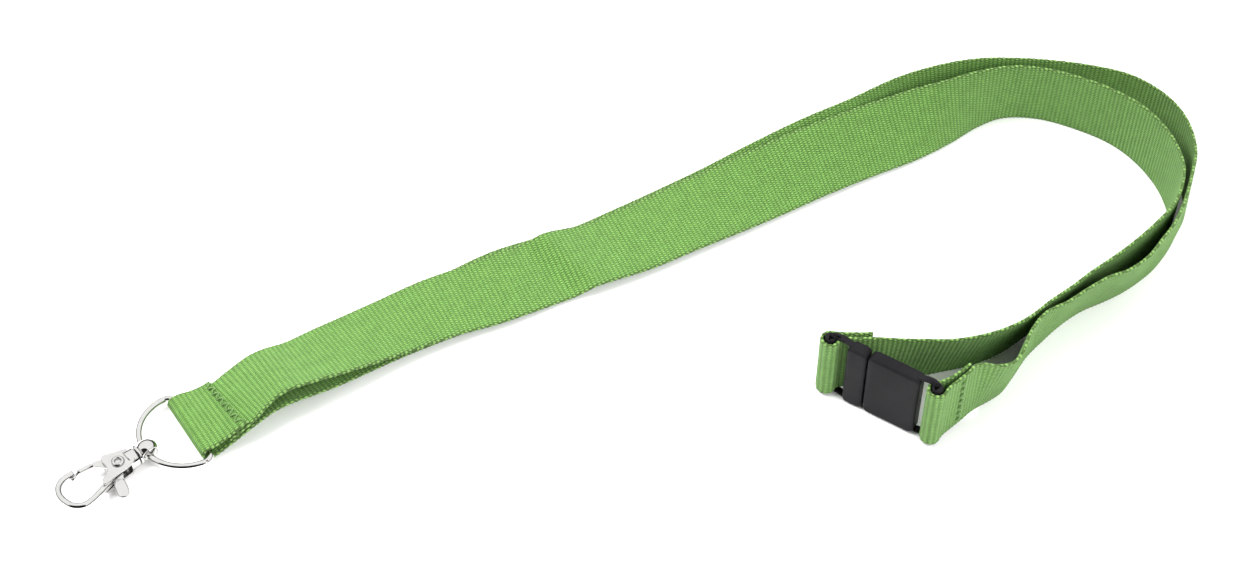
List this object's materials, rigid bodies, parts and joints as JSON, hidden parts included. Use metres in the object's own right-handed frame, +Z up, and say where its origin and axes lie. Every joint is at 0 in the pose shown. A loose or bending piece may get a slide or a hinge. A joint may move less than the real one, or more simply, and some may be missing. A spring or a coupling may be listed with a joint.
{
  "type": "lanyard badge holder",
  "caption": "Neck lanyard of folded woven webbing with a breakaway buckle, a D-ring and a swivel trigger hook, lying on its edge.",
  "frame": {"origin": "under the middle of the whole object, on the surface it lies on", "axes": "+X from the hook to the bend of the strap, +Y to the far side as it lies, +Z up"},
  "size_m": [0.294, 0.1618, 0.0222],
  "materials": {
    "webbing": "green ribbed polyester webbing",
    "thread": "green sewing thread",
    "buckle": "satin black moulded plastic",
    "plated": "bright nickel plate",
    "spring": "spring wire"
  },
  "bodies": {
    "straps": {"front_strap": "webbing", "rear_strap": "webbing", "ring_stitching": "thread", "socket_loop_stitching": "thread", "buckle_socket": "buckle"},
    "plug": {"buckle_plug": "buckle", "front_strap_buckle_end": "webbing", "plug_loop_stitching": "thread"},
    "ring": {"d_ring": "plated"},
    "swivel": {"swivel_eye": "plated"},
    "hook": {"hook_body": "plated", "gate_rivet": "plated", "gate_spring": "spring"},
    "gate": {"gate_lever": "plated"}
  },
  "joints": [
    {"name": "plug_slide", "type": "slide", "parent": "straps", "child": "plug", "axis": [-0.8607, 0.509, 0], "range_m": [0, 0.01]},
    {"name": "ring_swing", "type": "hinge", "parent": "straps", "child": "ring", "pos_m": [-0.1171, -0.05373, 0.00225], "axis": [-0.5807, 0.8141, 0], "range_deg": [0, 100]},
    {"name": "eye_swing", "type": "hinge", "parent": "ring", "child": "swivel", "pos_m": [-0.12728, -0.06228, 0.0024], "axis": [-0.6494, 0.7604, 0.001], "range_deg": [-45, 60]},
    {"name": "hook_turn", "type": "hinge", "parent": "swivel", "child": "hook", "pos_m": [-0.12693, -0.06193, 0.00286], "axis": [-0.7193, -0.6945, -0.0176], "continuous": true},
    {"name": "gate_open", "type": "hinge", "parent": "hook", "child": "gate", "pos_m": [-0.13268, -0.06749, 0.00272], "axis": [-0.0115, -0.0134, 0.9998], "range_deg": [0, 22], "stiffness_Nm_per_rad": 0.02, "springref_deg": -11.46}
  ]
}
